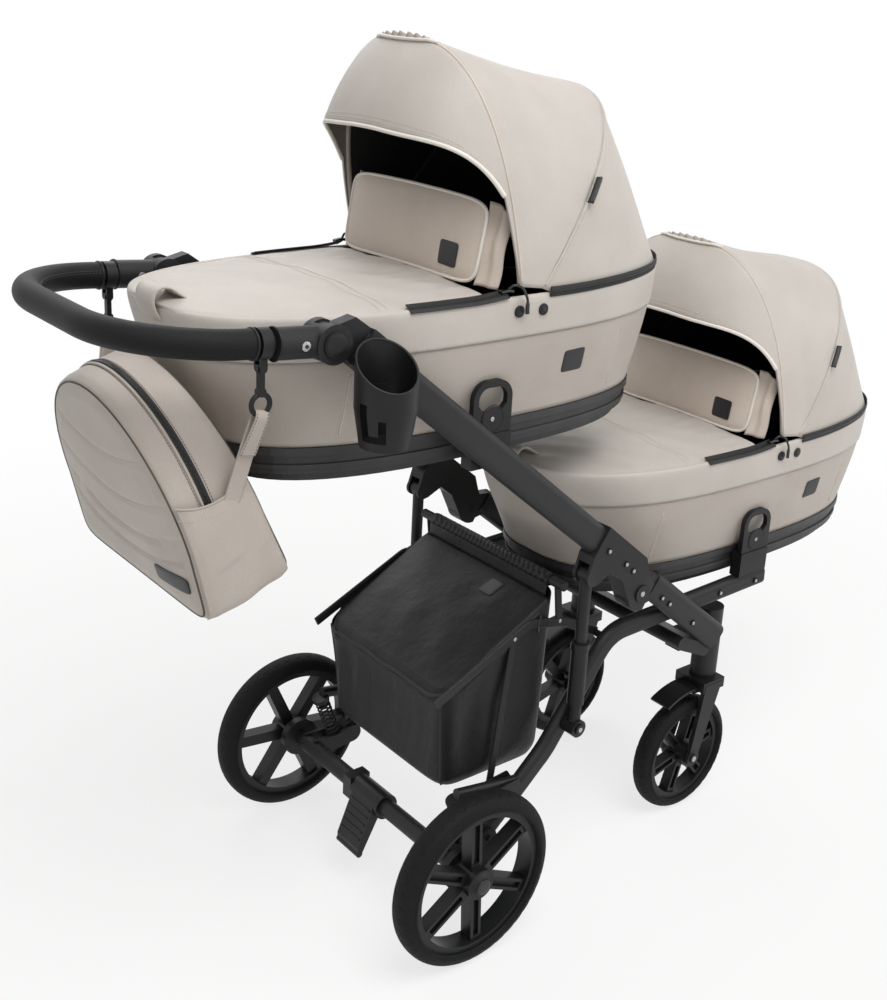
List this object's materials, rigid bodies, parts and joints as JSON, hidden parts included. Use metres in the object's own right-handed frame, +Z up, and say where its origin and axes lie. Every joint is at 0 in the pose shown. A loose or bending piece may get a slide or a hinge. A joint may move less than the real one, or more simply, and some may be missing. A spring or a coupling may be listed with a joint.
{
  "type": "twin pram",
  "caption": "Folding twin pram with hooded carrycots set in line, swivel front wheels, sprung rear axle, basket, cup holder and a bag hung from the handlebar.",
  "frame": {"origin": "On the floor, on the middle plane, half way between the two axles.", "axes": "Z up, +X the way the pram travels, +Y the left of the pram."},
  "size_m": [1.6506, 0.6095, 1.3776],
  "materials": {
    "frame_paint": "Matte graphite powder coat on the frame tubes",
    "black_plastic": "Black satin moulded plastic",
    "tyre_rubber": "Black soft tyre rubber",
    "rim_plastic": "Black moulded spoked wheel",
    "steel": "Bare steel pins, rivets, springs and rods",
    "greige_cloth": "Warm greige coated leather-look cloth",
    "taupe_cloth": "Taupe padded cloth of the wind flap",
    "mattress_cloth": "Pale quilted cotton mattress cover",
    "black_cloth": "Black soft-sheen basket cloth",
    "grip_leather": "Black stitched leatherette grip"
  },
  "bodies": {
    "chassis": {"side_rail_right": "frame_paint", "side_rail_left": "frame_paint", "front_tube_right": "frame_paint", "front_tube_left": "frame_paint", "front_beam": "frame_paint", "frame_rivets": "steel", "fold_pins": "steel", "basket_frame": "frame_paint", "basket": "black_cloth", "front_adapters": "black_plastic", "axle_brackets": "black_plastic", "axle_springs": "steel"},
    "axle": {"rear_axle": "frame_paint"},
    "rear_wheel_right": {"rear_tyre_right": "tyre_rubber", "rear_rim_right": "rim_plastic"},
    "rear_wheel_left": {"rear_tyre_left": "tyre_rubber", "rear_rim_left": "rim_plastic"},
    "brake": {"brake_pedal": "black_plastic"},
    "swivel_right": {"front_fork_right": "frame_paint"},
    "swivel_left": {"front_fork_left": "frame_paint"},
    "front_wheel_right": {"front_tyre_right": "tyre_rubber", "front_rim_right": "rim_plastic"},
    "front_wheel_left": {"front_tyre_left": "tyre_rubber", "front_rim_left": "rim_plastic"},
    "upper_frame": {"upper_tube_right": "frame_paint", "upper_tube_left": "frame_paint", "fold_brackets": "frame_paint", "upper_adapters": "black_plastic", "handle_hubs": "frame_paint", "cup_holder": "black_plastic"},
    "sleeves": {"strut_sleeves": "black_plastic"},
    "rods": {"strut_rods": "steel"},
    "handle": {"handlebar": "frame_paint", "grip": "grip_leather", "handle_joints": "frame_paint", "hanger_bands": "black_plastic"},
    "bag_body": {"snap_hooks": "black_plastic", "bag": "greige_cloth", "bag_straps": "greige_cloth"},
    "lid": {"basket_lid": "black_cloth"},
    "upper_cot": {"upper_pan": "black_plastic", "upper_shell": "greige_cloth", "upper_mattress": "mattress_cloth", "upper_apron": "greige_cloth", "upper_hood": "greige_cloth", "upper_hood_back": "greige_cloth", "upper_fittings": "black_plastic"},
    "upper_bow": {"upper_visor": "greige_cloth"},
    "upper_wind_flap": {"upper_flap": "taupe_cloth"},
    "lower_cot": {"lower_pan": "black_plastic", "lower_shell": "greige_cloth", "lower_mattress": "mattress_cloth", "lower_apron": "greige_cloth", "lower_hood": "greige_cloth", "lower_hood_back": "greige_cloth", "lower_fittings": "black_plastic"},
    "lower_bow": {"lower_visor": "greige_cloth"},
    "lower_wind_flap": {"lower_flap": "taupe_cloth"}
  },
  "joints": [
    {"name": "frame_fold", "type": "hinge", "parent": "chassis", "child": "upper_frame", "pos_m": [0.05898, 0, 0.52498], "axis": [0, -1, 0], "range_deg": [0, 40]},
    {"name": "strut_tilt", "type": "hinge", "parent": "chassis", "child": "sleeves", "pos_m": [-0.055, 0, 0.31], "axis": [0, -1, 0], "range_deg": [-0.5, 3.39]},
    {"name": "strut_slide", "type": "slide", "parent": "sleeves", "child": "rods", "axis": [0, 0, -1], "range_m": [0, 0.08662]},
    {"name": "handle_tilt", "type": "hinge", "parent": "upper_frame", "child": "handle", "pos_m": [-0.55646, 0, 1.02301], "axis": [0, 1, 0], "range_deg": [0, 25]},
    {"name": "bag_swing", "type": "hinge", "parent": "handle", "child": "bag_body", "pos_m": [-0.64618, 0, 0.99908], "axis": [0, 1, 0], "range_deg": [0, 30]},
    {"name": "axle_suspension", "type": "hinge", "parent": "chassis", "child": "axle", "pos_m": [-0.215, 0, 0.152], "axis": [0, 1, 0], "range_deg": [0, 5], "stiffness_Nm_per_rad": 1200, "springref_deg": -1.15, "deforming": ["axle_springs"]},
    {"name": "rear_wheel_spin_right", "type": "hinge", "parent": "axle", "child": "rear_wheel_right", "pos_m": [-0.295, -0.261, 0.145], "axis": [0, 1, 0], "continuous": true},
    {"name": "rear_wheel_spin_left", "type": "hinge", "parent": "axle", "child": "rear_wheel_left", "pos_m": [-0.295, 0.261, 0.145], "axis": [0, 1, 0], "continuous": true},
    {"name": "brake_press", "type": "hinge", "parent": "axle", "child": "brake", "pos_m": [-0.295, 0, 0.145], "axis": [0, -1, 0], "range_deg": [0, 18]},
    {"name": "swivel_right", "type": "hinge", "parent": "chassis", "child": "swivel_right", "pos_m": [0.337, -0.159, 0.268], "axis": [0, 0, 1], "continuous": true},
    {"name": "front_wheel_spin_right", "type": "hinge", "parent": "swivel_right", "child": "front_wheel_right", "pos_m": [0.295, -0.159, 0.111], "axis": [0, 1, 0], "continuous": true},
    {"name": "swivel_left", "type": "hinge", "parent": "chassis", "child": "swivel_left", "pos_m": [0.337, 0.159, 0.268], "axis": [0, 0, 1], "continuous": true},
    {"name": "front_wheel_spin_left", "type": "hinge", "parent": "swivel_left", "child": "front_wheel_left", "pos_m": [0.295, 0.159, 0.111], "axis": [0, 1, 0], "continuous": true},
    {"name": "lid_open", "type": "hinge", "parent": "chassis", "child": "lid", "pos_m": [-0.066, 0, 0.548], "axis": [0, 1, 0], "range_deg": [0, 60]},
    {"name": "upper_cot_lift", "type": "slide", "parent": "upper_frame", "child": "upper_cot", "axis": [0, 0, 1], "range_m": [0, 0.12]},
    {"name": "lower_cot_lift", "type": "slide", "parent": "chassis", "child": "lower_cot", "axis": [0, 0, 1], "range_m": [0, 0.055]},
    {"name": "upper_hood_fold", "type": "hinge", "parent": "upper_cot", "child": "upper_bow", "pos_m": [-0.229, 0, 1.022], "axis": [0, 1, 0], "range_deg": [0, 38], "deforming": ["upper_hood"]},
    {"name": "upper_flap_fold", "type": "hinge", "parent": "upper_cot", "child": "upper_wind_flap", "pos_m": [-0.2795, 0, 1.05805], "axis": [0, -1, 0], "range_deg": [0, 65]},
    {"name": "lower_hood_fold", "type": "hinge", "parent": "lower_cot", "child": "lower_bow", "pos_m": [0.416, 0, 0.689], "axis": [0, 1, 0], "range_deg": [0, 38], "deforming": ["lower_hood"]},
    {"name": "lower_flap_fold", "type": "hinge", "parent": "lower_cot", "child": "lower_wind_flap", "pos_m": [0.3655, 0, 0.72505], "axis": [0, -1, 0], "range_deg": [0, 65]}
  ],
  "couplings": [
    {"joint": "strut_tilt", "follows": "frame_fold", "ratio": 0.07219},
    {"joint": "strut_slide", "follows": "frame_fold", "m_per_rad": 0.12336}
  ]
}
